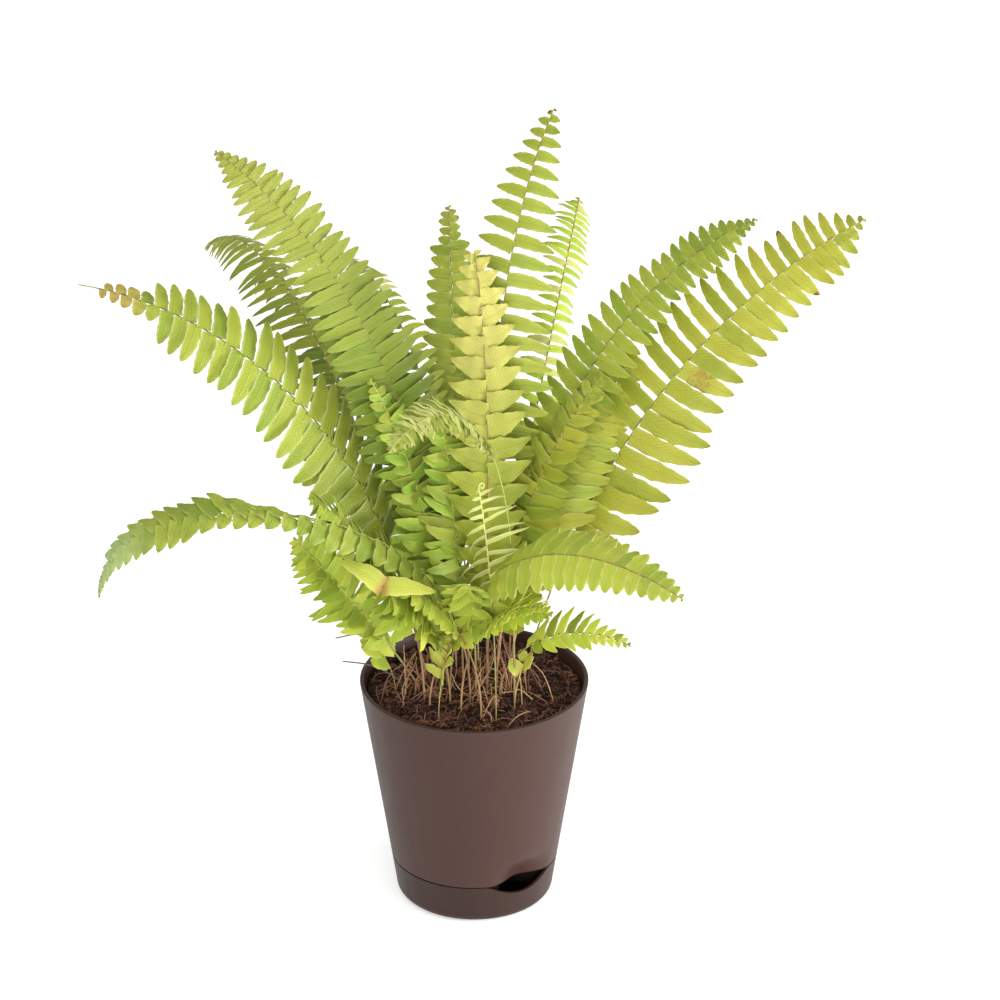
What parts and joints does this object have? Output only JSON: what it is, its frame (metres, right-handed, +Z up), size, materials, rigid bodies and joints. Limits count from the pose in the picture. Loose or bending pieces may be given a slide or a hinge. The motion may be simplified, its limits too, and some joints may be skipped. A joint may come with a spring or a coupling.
{
  "type": "potted fern",
  "caption": "Young sword fern with arching pinnate fronds, growing in potting soil in a tapered self-watering pot with a water tray.",
  "frame": {"origin": "middle of the flat base of the water tray, on the surface that the pot stands on", "axes": "+Z up along the pot's axis, -Y towards the front, where the filling mouth is seen at the right, +X to the right"},
  "size_m": [0.427, 0.3466, 0.4222],
  "materials": {
    "pot_plastic": "satin",
    "soil": "matte",
    "leaf_lime": "satin",
    "leaf_green": "satin",
    "leaf_yellow": "satin",
    "dry_stalk": "matte",
    "runner": "matte"
  },
  "bodies": {
    "root": {"planter": "pot_plastic", "reservoir": "pot_plastic", "potting_soil": "soil", "front_mid_frond": "leaf_yellow", "far_left_frond": "leaf_lime", "far_right_frond": "leaf_lime", "right_mid_frond": "leaf_lime", "tall_left_frond": "leaf_lime", "right_back_frond": "leaf_lime", "left_drooping_frond": "leaf_lime", "right_low_frond": "leaf_lime", "tallest_frond": "leaf_lime", "slim_back_frond": "leaf_lime", "narrow_right_frond": "leaf_green", "hooked_frond": "leaf_green", "behind_left_frond": "leaf_green", "right_lowest_frond": "leaf_green", "left_low_frond": "leaf_green", "front_left_frond": "leaf_green", "front_low_frond": "leaf_green", "front_centre_frond": "leaf_green", "left_mid_frond": "leaf_lime", "low_centre_frond": "leaf_lime", "low_front_frond": "leaf_green", "front_curl_frond": "leaf_yellow", "young_sprout_frond": "leaf_yellow", "inner_left_frond": "leaf_green", "inner_front_frond": "leaf_green", "inner_right_frond": "leaf_green", "inner_back_frond": "leaf_green", "back_left_frond": "leaf_green", "back_right_frond": "leaf_green", "left_sprig": "leaf_green", "middle_sprig": "leaf_yellow", "right_sprig": "leaf_yellow", "left_crown_stalks": "dry_stalk", "right_crown_stalks": "dry_stalk", "upper_runner": "runner", "lower_runner": "runner"}
  },
  "joints": []
}
